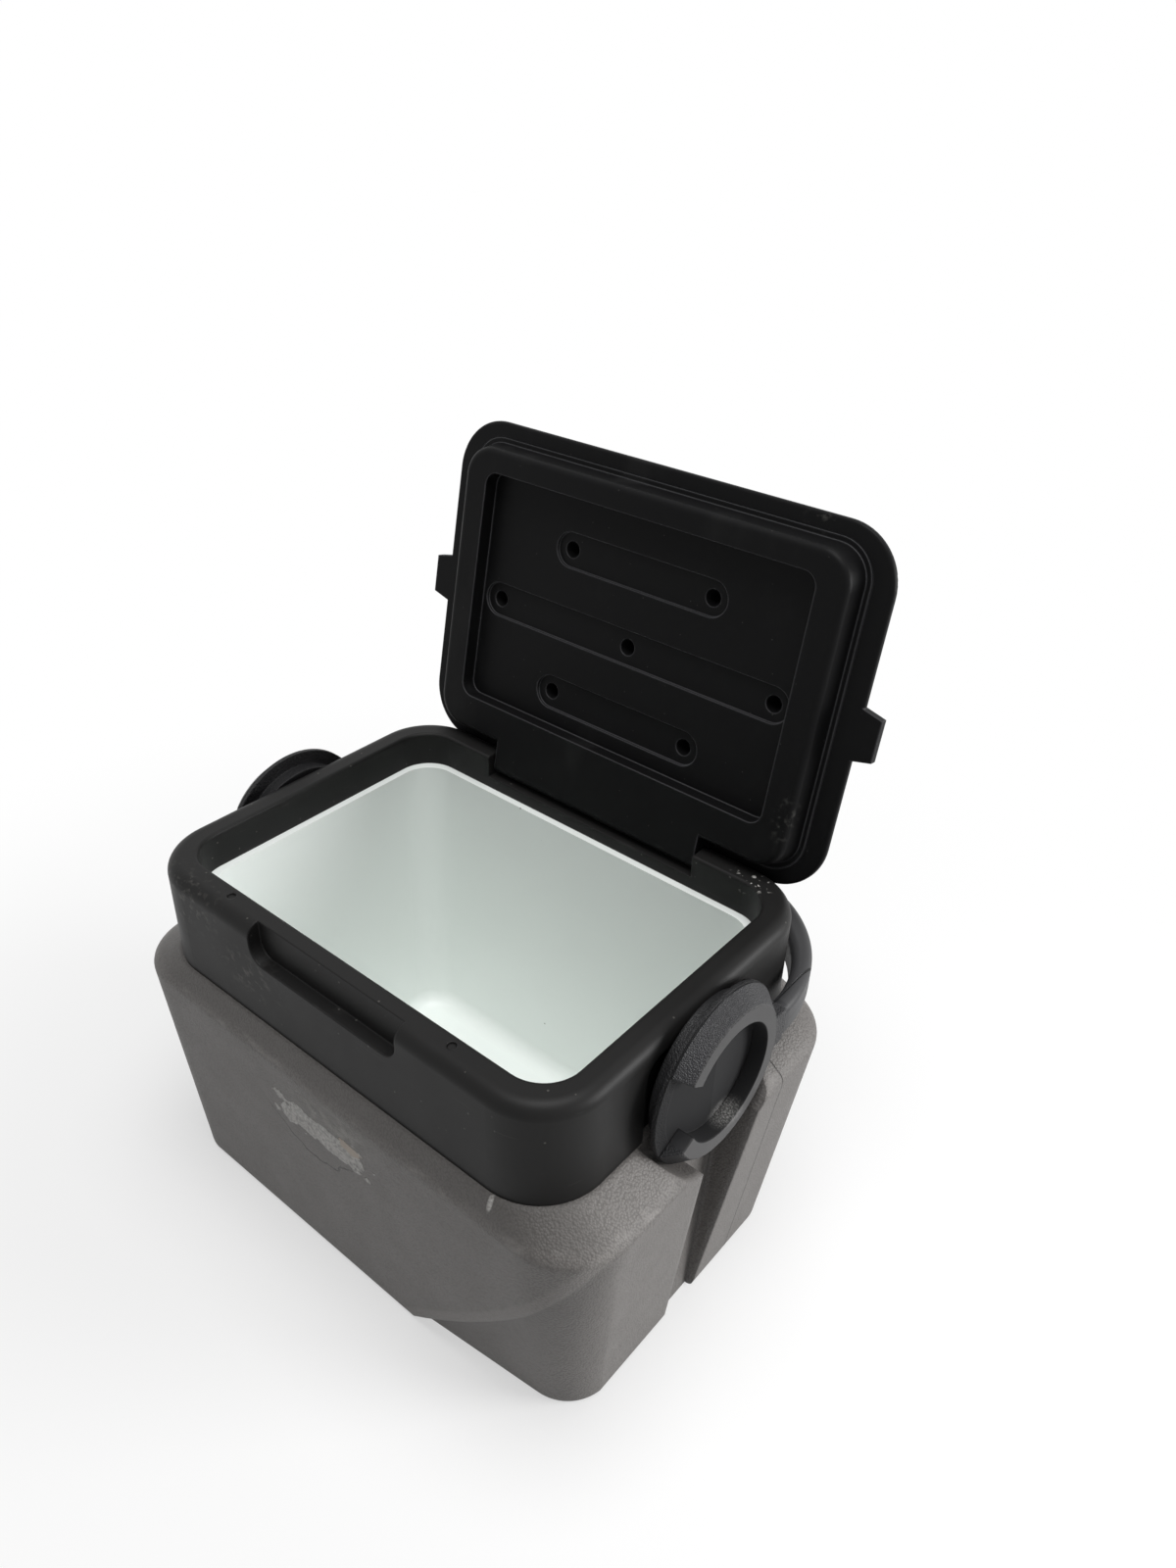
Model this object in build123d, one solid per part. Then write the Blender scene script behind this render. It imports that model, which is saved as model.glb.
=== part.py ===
"""Small personal cooler with a hinged lid and a bail handle.

Frame: origin on the floor under the middle of the base, +X to the right end, +Y to the hinge side, +Z up.
All sizes are millimetres. The lid is built shut and then turned open, as the object stands.
"""
from build123d import *
import math
import os

# Food opening: the other plan sizes grow from it
OPENING_LENGTH = 300.0
OPENING_DEPTH = 207.5
OPENING_CORNER = 24.0

# Collar and its rim
RIM_END_WIDTH = 18.0
RIM_SIDE_WIDTH = 19.25
COLLAR_HEIGHT = 70.0
COLLAR_WALL = 3.0
RIM_BEAD = 8.4
RIM_TOP = 3.5
LIP_DROP = 25.0
LIP_ROUND = 2.0

# Base shell
SHOULDER_HEIGHT = 182.0
SHOULDER_RISE = 18.0
SHOULDER_END_REACH = 26.5
SHOULDER_SIDE_REACH = 8.5
SHOULDER_CORNER = 43.0
SHOULDER_ROUND = 8.0
BASE_RIGHT_TAPER = 23.5
BASE_LEFT_TAPER = 13.5
BASE_SIDE_TAPER = 17.0
BASE_CORNER = 24.0
SEAT_LEDGE = 1.5
SEAT_LAND = 9.5
SHELL_WALL = 2.8
FOOT_ROUND = 5.0

# Cut-back foot at the front right and the rear left corner
CUTBACK_DEPTH = 18.0
CUTBACK_CORNER = 32.0
CUTBACK_OVERLAP = 0.6
CREASE_FOOT = 45.0
CREASE_SAG = 9.0

# Funnel-shaped channel in each end of the base
CHANNEL_FOOT_WIDTH = 30.0
CHANNEL_MOUTH_WIDTH = 53.0
CHANNEL_SHIFT = 5.0
CHANNEL_FOOT_DEPTH = 5.0

# Finger scoop in the front rim
SCOOP_LENGTH = 122.0
SCOOP_DROP = 24.0
SCOOP_DEPTH = 8.5
SCOOP_CORNER = 11.0

# Round plugs in the front rim
PLUG_RADIUS = 2.6
PLUG_SPACING = 182.0
PLUG_INSET = 12.5
PLUG_DEPTH = 2.5

# Liner
LINER_STEP = 5.0
LINER_WALL = 2.2
LINER_FLOOR_HEIGHT = 25.0
LINER_END_DRAFT = 5.0
LINER_SIDE_DRAFT = 8.75
LINER_CORNER = 22.0
LINER_FLOOR_ROUND = 12.0

# Foam and its filling plug
FIT_GAP = 0.3
FOAM_PLUG_RADIUS = 12.0
FOAM_PLUG_THICKNESS = 5.0
FOAM_PLUG_OFFSET = 70.0

# Lid
LID_END_INSET = 4.0
LID_REAR_SETBACK = 1.1
LID_CORNER = 36.0
FLANGE_THICKNESS = 5.0
FLANGE_ROUND = 1.8
CROWN_HEIGHT = 20.0
CROWN_INSET = 6.0
CROWN_DRAFT = 8.0
CROWN_ROUND = 6.0
CROWN_WALL = 3.0
LID_GAP = 0.4
LID_OPEN_ANGLE = 100.9
TAB_REACH = 12.5
TAB_WIDTH = 33.0
TAB_TIP_WIDTH = 26.0

# Lid underside
PLUG_RING_HEIGHT = 16.0
PLUG_RING_GAP = 3.5
PLUG_RING_DRAFT = 2.5
PLUG_RING_ROUND = 4.5
PANEL_WALL = 3.0
PANEL_SEAT = 2.6
RECESS_END_BORDER = 25.0
RECESS_FRONT_BORDER = 20.75
RECESS_REAR_BORDER = 30.75
RECESS_CORNER = 9.0
RECESS_DROP = 11.0
RECESS_FLOOR = 4.0
GROOVE_WIDTH = 23.0
GROOVE_DROP = 2.2
GROOVE_PITCH = 49.0
GROOVE_SHIFT = 1.5
GROOVE_MARGIN = 3.5
PIT_MOUTH = 5.5
PIT_TIP = 2.2
PIT_DEPTH = 12.0
PIT_WALL = 2.0

# Hinge: a tongue of the lid panel turns on two pins in a notch of the rear rim
TONGUE_LENGTH = 172.0
NOTCH_SIDE_GAP = 2.0
NOTCH_GAP = 0.6
NOTCH_CHEEK = 12.0
HINGE_FLOOR = 8.0
REAR_SILL = 2.6
PIN_RADIUS = 3.0
PIN_LENGTH = 22.0
PIN_SEAT = 8.0
RUNNING_GAP = 0.05

# Handle hubs
PIVOT_Y = 2.0
PIVOT_DROP = 46.5
HUB_PLATE_RADIUS = 55.5
HUB_PLATE_THICKNESS = 3.0
HUB_FACE_RADIUS = 46.4
HUB_BORE_RADIUS = 36.4
HUB_RING_WIDTH = 10.3
HUB_EDGE_ROUND = 1.5
HUB_SPACER_RADIUS = 46.0
HUB_STANDOFF = 0.8
HUB_CLEARANCE = 2.5
HUB_GAP_START = 145.0
HUB_GAP_END = 206.0
TAB_CLEARANCE = 0.7
JOURNAL_RADIUS = 14.0
PIVOT_BOSS_GAP = 0.5
POCKET_HALF_WIDTH = 48.0
POCKET_DROP = 12.0
POCKET_DEPTH = 5.5
POCKET_CORNER = 12.0
CLIP_RADIUS = 19.0
CLIP_THICKNESS = 3.0
CLIP_GROOVE = 2.0

# Handle bail
BAIL_OUTER_RADIUS = 95.0
BAIL_HEIGHT = 24.0
ARM_THICKNESS = 11.0
ARM_INSET = 2.0
GRIP_THICKNESS = 20.0
GRIP_ROOM = 17.0
ROOT_REACH = 2.5
ARM_RUN = 3.0
BAIL_ROUND = 5.0
ROOT_PEG = 10.0

# Worked-out sizes
COLLAR_LENGTH = OPENING_LENGTH + 2 * RIM_END_WIDTH
COLLAR_DEPTH = OPENING_DEPTH + 2 * RIM_SIDE_WIDTH
COLLAR_CORNER = OPENING_CORNER + RIM_END_WIDTH
SHOULDER_LENGTH = COLLAR_LENGTH + 2 * SHOULDER_END_REACH
SHOULDER_DEPTH = COLLAR_DEPTH + 2 * SHOULDER_SIDE_REACH
BASE_RIGHT = SHOULDER_LENGTH / 2 - BASE_RIGHT_TAPER
BASE_LEFT = SHOULDER_LENGTH / 2 - BASE_LEFT_TAPER
BASE_LENGTH = BASE_RIGHT + BASE_LEFT
BASE_DEPTH = SHOULDER_DEPTH - 2 * BASE_SIDE_TAPER
LINER_TOP_LENGTH = OPENING_LENGTH - 2 * LINER_STEP
LINER_TOP_DEPTH = OPENING_DEPTH - 2 * LINER_STEP
LID_LENGTH = COLLAR_LENGTH - 2 * LID_END_INSET
LID_DEPTH = COLLAR_DEPTH - 2 * (RIM_BEAD + LID_REAR_SETBACK)
RECESS_LENGTH = OPENING_LENGTH - 2 * RECESS_END_BORDER
RECESS_DEPTH = OPENING_DEPTH - RECESS_FRONT_BORDER - RECESS_REAR_BORDER
RECESS_SHIFT = (RECESS_FRONT_BORDER - RECESS_REAR_BORDER) / 2
LONG_GROOVE_SPAN = RECESS_LENGTH - GROOVE_WIDTH - 2 * GROOVE_MARGIN
SHORT_GROOVE_SPAN = LONG_GROOVE_SPAN / 2

# Worked-out places
SEAT_HEIGHT = SHOULDER_HEIGHT + SHOULDER_RISE
RIM_HEIGHT = SEAT_HEIGHT + COLLAR_HEIGHT
COLLAR_END = COLLAR_LENGTH / 2
COLLAR_REAR = COLLAR_DEPTH / 2
HINGE_Y = COLLAR_REAR - RIM_BEAD
HINGE_Z = RIM_HEIGHT - RIM_BEAD
HINGE_AXIS = Axis((0, HINGE_Y, HINGE_Z), (1, 0, 0))
LID_BOTTOM = RIM_HEIGHT + LID_GAP
LINER_TOP = RIM_HEIGHT - LIP_DROP
PLUG_RING_BOTTOM = LID_BOTTOM - PLUG_RING_HEIGHT
TONGUE_RADIUS = HINGE_Z - PLUG_RING_BOTTOM
PIVOT_HEIGHT = RIM_HEIGHT - PIVOT_DROP
PIVOT_BOSS_RADIUS = PIVOT_HEIGHT - SEAT_HEIGHT - PIVOT_BOSS_GAP
POCKET_FLOOR = COLLAR_END - POCKET_DEPTH
SPACER_BACK = COLLAR_END + HUB_STANDOFF
PLATE_BACK = LID_LENGTH / 2 + TAB_REACH + TAB_CLEARANCE
RING_BACK = PLATE_BACK + HUB_PLATE_THICKNESS
HUB_FACE = RING_BACK + HUB_RING_WIDTH
ARM_OUTER = HUB_FACE - ARM_INSET
ARM_ROOT = PIVOT_Y + HUB_PLATE_RADIUS + ROOT_REACH
FAR = 400.0
UPWARD = (Align.CENTER, Align.CENTER, Align.MIN)


def slab(length, depth, corner, low, high, y=0.0):
    """Upright block with rounded corners in plan."""
    outline = RectangleRounded(length, depth, corner)
    return Pos(0, y, low) * extrude(outline, high - low)


def tapered(sections):
    """Straight-sided body through rounded rectangles, each (length, depth, corner, height)."""
    outlines = [Pos(0, 0, height) * RectangleRounded(length, depth, corner)
                for length, depth, corner, height in sections]
    return loft(outlines, ruled=True)


def block(low, high):
    """Box between two corners."""
    size = [b - a for a, b in zip(low, high)]
    middle = [(a + b) / 2 for a, b in zip(low, high)]
    return Pos(*middle) * Box(*size)


def rod(radius, x_low, x_high, y, z):
    """Cylinder along X."""
    middle = (x_low + x_high) / 2
    return Pos(middle, y, z) * Rot(0, 90, 0) * Cylinder(radius, abs(x_high - x_low))


def end_plate(outline, x_low, x_high):
    """Outline drawn in the Y, Z plane, made solid between two places along X."""
    return extrude(Plane.YZ.offset(x_low) * outline, x_high - x_low)


def mirrored(solid):
    """The same piece on the left end."""
    return mirror(solid, about=Plane.YZ)


def both_ends(solid):
    """The piece and its twin at the other end."""
    return solid + mirrored(solid)


def edges_at(solid, height):
    """Edges that lie level at one height."""
    level = []
    for edge in solid.edges():
        box = edge.bounding_box()
        if max(abs(box.min.Z - height), abs(box.max.Z - height)) < 1e-4:
            level.append(edge)
    return level


def opened(solid):
    """Turn a piece of the lid from shut to open about the hinge."""
    return solid.rotate(HINGE_AXIS, -LID_OPEN_ANGLE)


def hull(wall):
    """Tub of the base, drawn in by a wall thickness."""
    seat_length = COLLAR_LENGTH + 2 * SEAT_LEDGE
    seat_depth = COLLAR_DEPTH + 2 * SEAT_LEDGE
    seat_corner = COLLAR_CORNER + SEAT_LEDGE
    middle = (BASE_RIGHT - BASE_LEFT) / 2
    foot = RectangleRounded(BASE_LENGTH - 2 * wall, BASE_DEPTH - 2 * wall, BASE_CORNER - wall)
    edge = RectangleRounded(SHOULDER_LENGTH - 2 * wall, SHOULDER_DEPTH - 2 * wall, SHOULDER_CORNER - wall)
    lower = loft([Pos(middle, 0, wall) * foot, Pos(0, 0, SHOULDER_HEIGHT) * edge], ruled=True)
    upper = tapered([
        (SHOULDER_LENGTH - 2 * wall, SHOULDER_DEPTH - 2 * wall, SHOULDER_CORNER - wall, SHOULDER_HEIGHT),
        (seat_length - 2 * wall, seat_depth - 2 * wall, seat_corner - wall, SEAT_HEIGHT - wall)])
    return lower + upper


def slanted_outline(length, depth, corner, set_back, height):
    """Plan outline whose front edge slants back towards its right end."""
    right = length / 2
    rear = depth / 2
    outline = Polygon((-right, -rear - set_back), (right, -rear + set_back), (right, rear), (-right, rear),
                      align=None)
    return Pos(0, 0, height) * fillet(outline.vertices(), corner)


def cutback(wall, end):
    """What is missing from a foot, right of a bowed crease in the front, grown by a wall thickness."""
    length = 2 * (end + CUTBACK_OVERLAP - wall)
    depth = BASE_DEPTH - 2 * wall
    foot = CUTBACK_CORNER - wall
    top_length = SHOULDER_LENGTH + 2 * CUTBACK_OVERLAP - 2 * wall
    top_depth = SHOULDER_DEPTH + 2 * CUTBACK_OVERLAP - 2 * wall
    kept = loft([
        slanted_outline(length, depth, foot, CUTBACK_DEPTH, -SHELL_WALL),
        slanted_outline(length, depth, foot, CUTBACK_DEPTH, wall),
        slanted_outline(top_length, top_depth, SHOULDER_CORNER - wall, 0, SHOULDER_HEIGHT)], ruled=True)
    start = CREASE_FOOT - wall
    end = SHOULDER_LENGTH / 2 - wall
    chord = math.hypot(end - start, SHOULDER_HEIGHT)
    middle = ((start + end) / 2 + CREASE_SAG * SHOULDER_HEIGHT / chord,
              SHOULDER_HEIGHT / 2 - CREASE_SAG * (end - start) / chord)
    right_of_crease = make_face([
        ThreePointArc((start, 0), middle, (end, SHOULDER_HEIGHT)),
        Line((end, SHOULDER_HEIGHT), (FAR, SHOULDER_HEIGHT)),
        Line((FAR, SHOULDER_HEIGHT), (FAR, -SHELL_WALL)),
        Line((FAR, -SHELL_WALL), (start, -SHELL_WALL)),
        Line((start, -SHELL_WALL), (start, 0))])
    return extrude(Plane.XZ * right_of_crease, FAR) - kept


def channel(wall, end):
    """Funnel under a hub with room for the hub's plate, grown by a wall thickness."""
    foot = CHANNEL_FOOT_WIDTH / 2 + wall
    mouth = CHANNEL_MOUTH_WIDTH / 2 + wall
    mouth_height = PIVOT_HEIGHT - HUB_PLATE_RADIUS
    middle = PIVOT_Y + CHANNEL_SHIFT
    outline = Polygon(
        (middle - foot, -1), (middle + foot, -1),
        (middle + mouth, mouth_height), (middle + mouth, SEAT_HEIGHT + 1),
        (middle - mouth, SEAT_HEIGHT + 1), (middle - mouth, mouth_height), align=None)
    foot_floor = end - CHANNEL_FOOT_DEPTH - wall
    top_floor = COLLAR_END - wall
    slope = Polygon((foot_floor, -1), (FAR, -1), (FAR, SEAT_HEIGHT + 1), (top_floor, SEAT_HEIGHT + 1),
                    align=None)
    funnel = end_plate(outline, 0, FAR) & extrude(Plane.XZ * slope, FAR, both=True)
    return funnel + rod(HUB_PLATE_RADIUS + HUB_CLEARANCE + wall, top_floor, FAR, PIVOT_Y, PIVOT_HEIGHT)


def cutbacks(wall):
    """The front right foot's cut and, half a turn round, the rear left foot's."""
    return cutback(wall, BASE_RIGHT) + cutback(wall, BASE_LEFT).rotate(Axis.Z, 180)


def channels(wall):
    """The funnels of both ends."""
    return channel(wall, BASE_RIGHT) + mirrored(channel(wall, BASE_LEFT))


def tub(wall):
    """Tub of the base with its cut-back feet and channels, drawn in by a wall thickness."""
    return hull(wall) - cutbacks(wall) - channels(wall)


def make_base_shell():
    outside = fillet(edges_at(hull(0), SHOULDER_HEIGHT), SHOULDER_ROUND)
    outside = outside - cutbacks(0)
    outside = fillet(edges_at(outside, 0), FOOT_ROUND)
    outside = outside - channels(0)
    land = 2 * (SEAT_LAND - SEAT_LEDGE)
    mouth = slab(COLLAR_LENGTH - land, COLLAR_DEPTH - land, COLLAR_CORNER - land / 2,
                 SEAT_HEIGHT - 2 * SHELL_WALL, SEAT_HEIGHT + 1)
    pocket_clear = block((POCKET_FLOOR - COLLAR_WALL, PIVOT_Y - POCKET_HALF_WIDTH - COLLAR_WALL, 0),
                         (FAR, PIVOT_Y + POCKET_HALF_WIDTH + COLLAR_WALL, FAR))
    mouth = mouth - both_ends(pocket_clear)
    hole = Pos(FOAM_PLUG_OFFSET, 0, 0) * Cylinder(FOAM_PLUG_RADIUS + FIT_GAP / 2, 4 * SHELL_WALL)
    return outside - tub(SHELL_WALL) - mouth - hole


def make_foam_plug():
    plug = Cylinder(FOAM_PLUG_RADIUS, FOAM_PLUG_THICKNESS - 1, align=UPWARD)
    return Pos(FOAM_PLUG_OFFSET, 0, 1) * chamfer(plug.edges().group_by(Axis.Z)[0], 0.6)


def liner_body(grow):
    """Outside of the food tub below its top flange, grown evenly."""
    wall = 2 * (LINER_WALL + grow)
    floor_length = LINER_TOP_LENGTH - 2 * LINER_END_DRAFT
    floor_depth = LINER_TOP_DEPTH - 2 * LINER_SIDE_DRAFT
    corner = LINER_CORNER + wall / 2
    return tapered([
        (floor_length + wall, floor_depth + wall, corner, LINER_FLOOR_HEIGHT - wall / 2),
        (LINER_TOP_LENGTH + wall, LINER_TOP_DEPTH + wall, corner, LINER_TOP)])


def make_liner():
    flange_length = OPENING_LENGTH + 2 * COLLAR_WALL
    flange_depth = OPENING_DEPTH + 2 * COLLAR_WALL
    flange_corner = OPENING_CORNER + COLLAR_WALL
    flange = slab(flange_length, flange_depth, flange_corner, LINER_TOP - LINER_WALL, LINER_TOP)
    cavity = liner_body(-LINER_WALL)
    cavity = fillet(edges_at(cavity, LINER_FLOOR_HEIGHT), LINER_FLOOR_ROUND)
    return liner_body(0) + flange - cavity


def pocket(grow):
    """Recess in the right end wall of the collar, under the rim, grown by a wall thickness."""
    top = RIM_HEIGHT - POCKET_DROP + grow
    bottom = SEAT_HEIGHT - 2 * POCKET_CORNER
    width = 2 * (POCKET_HALF_WIDTH + grow)
    outline = Pos(PIVOT_Y, (top + bottom) / 2) * RectangleRounded(width, top - bottom, POCKET_CORNER + grow)
    return end_plate(outline, POCKET_FLOOR - grow, COLLAR_END + 1)


def scoop(grow):
    """Finger recess in the front rim, grown by a wall thickness."""
    bottom = RIM_HEIGHT - SCOOP_DROP - grow
    top = RIM_HEIGHT + 2 * SCOOP_CORNER
    length = SCOOP_LENGTH + 2 * grow
    outline = Pos(0, (top + bottom) / 2) * RectangleRounded(length, top - bottom, SCOOP_CORNER + grow)
    front = -COLLAR_REAR
    return Pos(0, front + SCOOP_DEPTH + grow, 0) * extrude(Plane.XZ * outline, SCOOP_DEPTH + grow + 1)


def hinge_notch():
    """Opening in the rear rim that the lid's tongue turns in."""
    half = TONGUE_LENGTH / 2 + NOTCH_SIDE_GAP
    inner = OPENING_DEPTH / 2 - COLLAR_WALL
    floor = HINGE_Z - TONGUE_RADIUS - NOTCH_GAP
    front = block((-half, inner, floor), (half, HINGE_Y, FAR))
    rear = block((-half, HINGE_Y - 1, HINGE_Z - REAR_SILL), (half, FAR, FAR))
    return front + rear + rod(TONGUE_RADIUS + NOTCH_GAP, -half, half, HINGE_Y, HINGE_Z)


def hinge_cheeks():
    """Solid stretch of the rear rim around the notch, with room for the pins."""
    half = TONGUE_LENGTH / 2 + NOTCH_SIDE_GAP + NOTCH_CHEEK
    floor = HINGE_Z - TONGUE_RADIUS - NOTCH_GAP - HINGE_FLOOR
    rear = COLLAR_REAR - COLLAR_WALL / 2
    return block((-half, OPENING_DEPTH / 2, floor), (half, rear, RIM_HEIGHT - RIM_TOP))


def rim_plug_places():
    return [Pos(side * PLUG_SPACING / 2, -COLLAR_REAR + PLUG_INSET, RIM_HEIGHT) for side in (-1, 1)]


def make_collar():
    outside = slab(COLLAR_LENGTH, COLLAR_DEPTH, COLLAR_CORNER, SEAT_HEIGHT, RIM_HEIGHT)
    outside = fillet(edges_at(outside, RIM_HEIGHT), RIM_BEAD)
    walls = 2 * COLLAR_WALL
    hollow = slab(COLLAR_LENGTH - walls, COLLAR_DEPTH - walls, COLLAR_CORNER - COLLAR_WALL,
                  SEAT_HEIGHT - 1, RIM_HEIGHT - RIM_TOP)
    hollow = fillet(edges_at(hollow, RIM_HEIGHT - RIM_TOP), RIM_BEAD - COLLAR_WALL)
    lip = slab(OPENING_LENGTH + walls, OPENING_DEPTH + walls, OPENING_CORNER + COLLAR_WALL,
               LINER_TOP, RIM_HEIGHT - RIM_TOP)
    opening = slab(OPENING_LENGTH, OPENING_DEPTH, OPENING_CORNER, SEAT_HEIGHT, RIM_HEIGHT + 1)
    inside = hollow - both_ends(pocket(COLLAR_WALL)) - scoop(COLLAR_WALL) - hinge_cheeks() - lip
    collar = outside - inside - opening
    collar = fillet([edge for edge in edges_at(collar, RIM_HEIGHT)
                     if abs(edge.center().Y) <= OPENING_DEPTH / 2 + 1
                     and abs(edge.center().X) <= OPENING_LENGTH / 2 + 1], LIP_ROUND)
    boss = rod(PIVOT_BOSS_RADIUS, POCKET_FLOOR - COLLAR_WALL / 2, COLLAR_END, PIVOT_Y, PIVOT_HEIGHT)
    bore = rod(JOURNAL_RADIUS + RUNNING_GAP, POCKET_FLOOR - 2 * COLLAR_WALL, FAR, PIVOT_Y, PIVOT_HEIGHT)
    collar = collar - both_ends(pocket(0)) + both_ends(boss) - both_ends(bore)
    pins = both_ends(rod(PIN_RADIUS + RUNNING_GAP, pin_inner(), pin_inner() + PIN_LENGTH, HINGE_Y, HINGE_Z))
    collar = collar - scoop(0) - hinge_notch() - pins
    for place in rim_plug_places():
        collar = collar - place * Cylinder(PLUG_RADIUS + RUNNING_GAP, 2 * PLUG_DEPTH)
    return collar


def pin_inner():
    """Inner end of the right hinge pin."""
    return TONGUE_LENGTH / 2 - PIN_SEAT


def make_hinge_pin():
    return rod(PIN_RADIUS, pin_inner() + 0.5, pin_inner() + PIN_LENGTH - 0.5, HINGE_Y, HINGE_Z)


def make_rim_plugs():
    plug = Pos(0, 0, -PLUG_DEPTH) * Cylinder(PLUG_RADIUS, PLUG_DEPTH - 0.8, align=UPWARD)
    return Compound([place * plug for place in rim_plug_places()])


def make_body_foam():
    """Insulation: fills the tub and the collar around the liner, clear of both by the fit gap."""
    lower = tub(SHELL_WALL + FIT_GAP)
    land = 2 * (SEAT_LAND - SEAT_LEDGE + FIT_GAP)
    collar_wall = 2 * (COLLAR_WALL + FIT_GAP)
    top = LINER_TOP - LINER_WALL - FIT_GAP
    neck = slab(COLLAR_LENGTH - land, COLLAR_DEPTH - land, COLLAR_CORNER - land / 2, SEAT_HEIGHT / 2, top)
    inner = slab(COLLAR_LENGTH - collar_wall, COLLAR_DEPTH - collar_wall, COLLAR_CORNER - collar_wall / 2,
                 SEAT_HEIGHT / 2, top)
    clear = COLLAR_WALL + FIT_GAP
    half = POCKET_HALF_WIDTH + clear
    pocket_clear = block((POCKET_FLOOR - clear, PIVOT_Y - half, SEAT_HEIGHT - 2 * SHELL_WALL),
                         (FAR, PIVOT_Y + half, FAR))
    clip_clear = rod(CLIP_RADIUS + 1, clip_inner() - 1, FAR, PIVOT_Y, PIVOT_HEIGHT)
    plug_clear = Pos(FOAM_PLUG_OFFSET, 0, 0) * Cylinder(FOAM_PLUG_RADIUS + FIT_GAP,
                                                        2 * (FOAM_PLUG_THICKNESS + FIT_GAP))
    foam = lower + (neck & inner) - both_ends(pocket_clear) - both_ends(clip_clear) - plug_clear
    return foam - liner_body(FIT_GAP)


def make_lid_cover():
    low = LID_BOTTOM
    high = LID_BOTTOM + FLANGE_THICKNESS
    flange = slab(LID_LENGTH, LID_DEPTH, LID_CORNER, low, high)
    tab_y = PIVOT_Y
    root = LID_LENGTH / 2 - 2
    tip = LID_LENGTH / 2 + TAB_REACH
    tab = Polygon((root, tab_y - TAB_WIDTH / 2), (tip, tab_y - TAB_TIP_WIDTH / 2),
                  (tip, tab_y + TAB_TIP_WIDTH / 2), (root, tab_y + TAB_WIDTH / 2), align=None)
    tabs = both_ends(Pos(0, 0, low) * extrude(tab, FLANGE_THICKNESS))
    flange = fillet(edges_at(flange, high) + edges_at(flange, low), FLANGE_ROUND) + tabs
    foot_length = LID_LENGTH - 2 * CROWN_INSET
    foot_depth = LID_DEPTH - 2 * CROWN_INSET
    corner = LID_CORNER - CROWN_INSET
    top = high + CROWN_HEIGHT
    crown = tapered([
        (foot_length, foot_depth, corner, high),
        (foot_length - 2 * CROWN_DRAFT, foot_depth - 2 * CROWN_DRAFT, corner - CROWN_DRAFT / 2, top)])
    crown = fillet(edges_at(crown, top), CROWN_ROUND)
    seat = panel_seat(FIT_GAP / 2, low - 1, low + PANEL_SEAT)
    hollow = panel_seat(-CROWN_WALL, low, top - CROWN_WALL)
    return flange + crown - seat - hollow


def panel_seat(grow, low, high):
    """Outline where the inner panel sits in the flange, grown evenly."""
    length = OPENING_LENGTH + 2 * grow
    depth = OPENING_DEPTH + 2 * grow
    return slab(length, depth, OPENING_CORNER + grow, low, high)


def groove_rows():
    """Each groove's place across the lid and the length between its end pits."""
    return [(GROOVE_SHIFT - GROOVE_PITCH, SHORT_GROOVE_SPAN),
            (GROOVE_SHIFT, LONG_GROOVE_SPAN),
            (GROOVE_SHIFT + GROOVE_PITCH, SHORT_GROOVE_SPAN)]


def pit_places():
    """Two pits at the ends of every groove, and one in the middle of the long one."""
    places = [(0.0, GROOVE_SHIFT)]
    for y, span in groove_rows():
        places += [(-span / 2, y), (span / 2, y)]
    return places


def make_lid_inner_panel():
    bottom = PLUG_RING_BOTTOM
    ring_length = OPENING_LENGTH - 2 * PLUG_RING_GAP
    ring_depth = OPENING_DEPTH - 2 * PLUG_RING_GAP
    corner = OPENING_CORNER - PLUG_RING_GAP
    ring = tapered([
        (ring_length - 2 * PLUG_RING_DRAFT, ring_depth - 2 * PLUG_RING_DRAFT, corner, bottom),
        (ring_length, ring_depth, corner, LID_BOTTOM)])
    ring = fillet(edges_at(ring, bottom), PLUG_RING_ROUND)
    half = TONGUE_LENGTH / 2
    tongue = block((-half, ring_depth / 2 - 3 * PANEL_WALL, bottom), (half, HINGE_Y, LID_BOTTOM))
    tongue = tongue + rod(TONGUE_RADIUS, -half, half, HINGE_Y, HINGE_Z)
    seat = panel_seat(0, LID_BOTTOM, LID_BOTTOM + PANEL_SEAT)
    floor_low = bottom + RECESS_DROP
    floor_high = floor_low + RECESS_FLOOR
    wall = 2 * (PANEL_WALL + PLUG_RING_DRAFT)
    hollow = slab(ring_length - wall, ring_depth - wall, corner - PANEL_WALL, bottom + PANEL_WALL, FAR)
    hollow = hollow - slab(RECESS_LENGTH + 2 * PANEL_WALL, RECESS_DEPTH + 2 * PANEL_WALL,
                           RECESS_CORNER + PANEL_WALL, 0, floor_high, RECESS_SHIFT)
    recess = slab(RECESS_LENGTH, RECESS_DEPTH, RECESS_CORNER, bottom - 1, floor_low, RECESS_SHIFT)
    panel = ring + seat - hollow - recess + tongue
    for y, span in groove_rows():
        groove = SlotCenterToCenter(span, GROOVE_WIDTH)
        panel = panel - Pos(0, y, floor_low - 1) * extrude(groove, GROOVE_DROP + 1)
    pit_low = floor_low + GROOVE_DROP
    for x, y in pit_places():
        boss = Cone(PIT_MOUTH + PIT_WALL, PIT_TIP + PIT_WALL, PIT_DEPTH + PIT_WALL, align=UPWARD)
        pit = Cone(PIT_MOUTH, PIT_TIP, PIT_DEPTH, align=UPWARD)
        panel = panel + Pos(x, y, pit_low) * boss - Pos(x, y, pit_low) * pit
    bores = both_ends(rod(PIN_RADIUS + RUNNING_GAP, pin_inner(), FAR, HINGE_Y, HINGE_Z))
    return panel - bores


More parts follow.
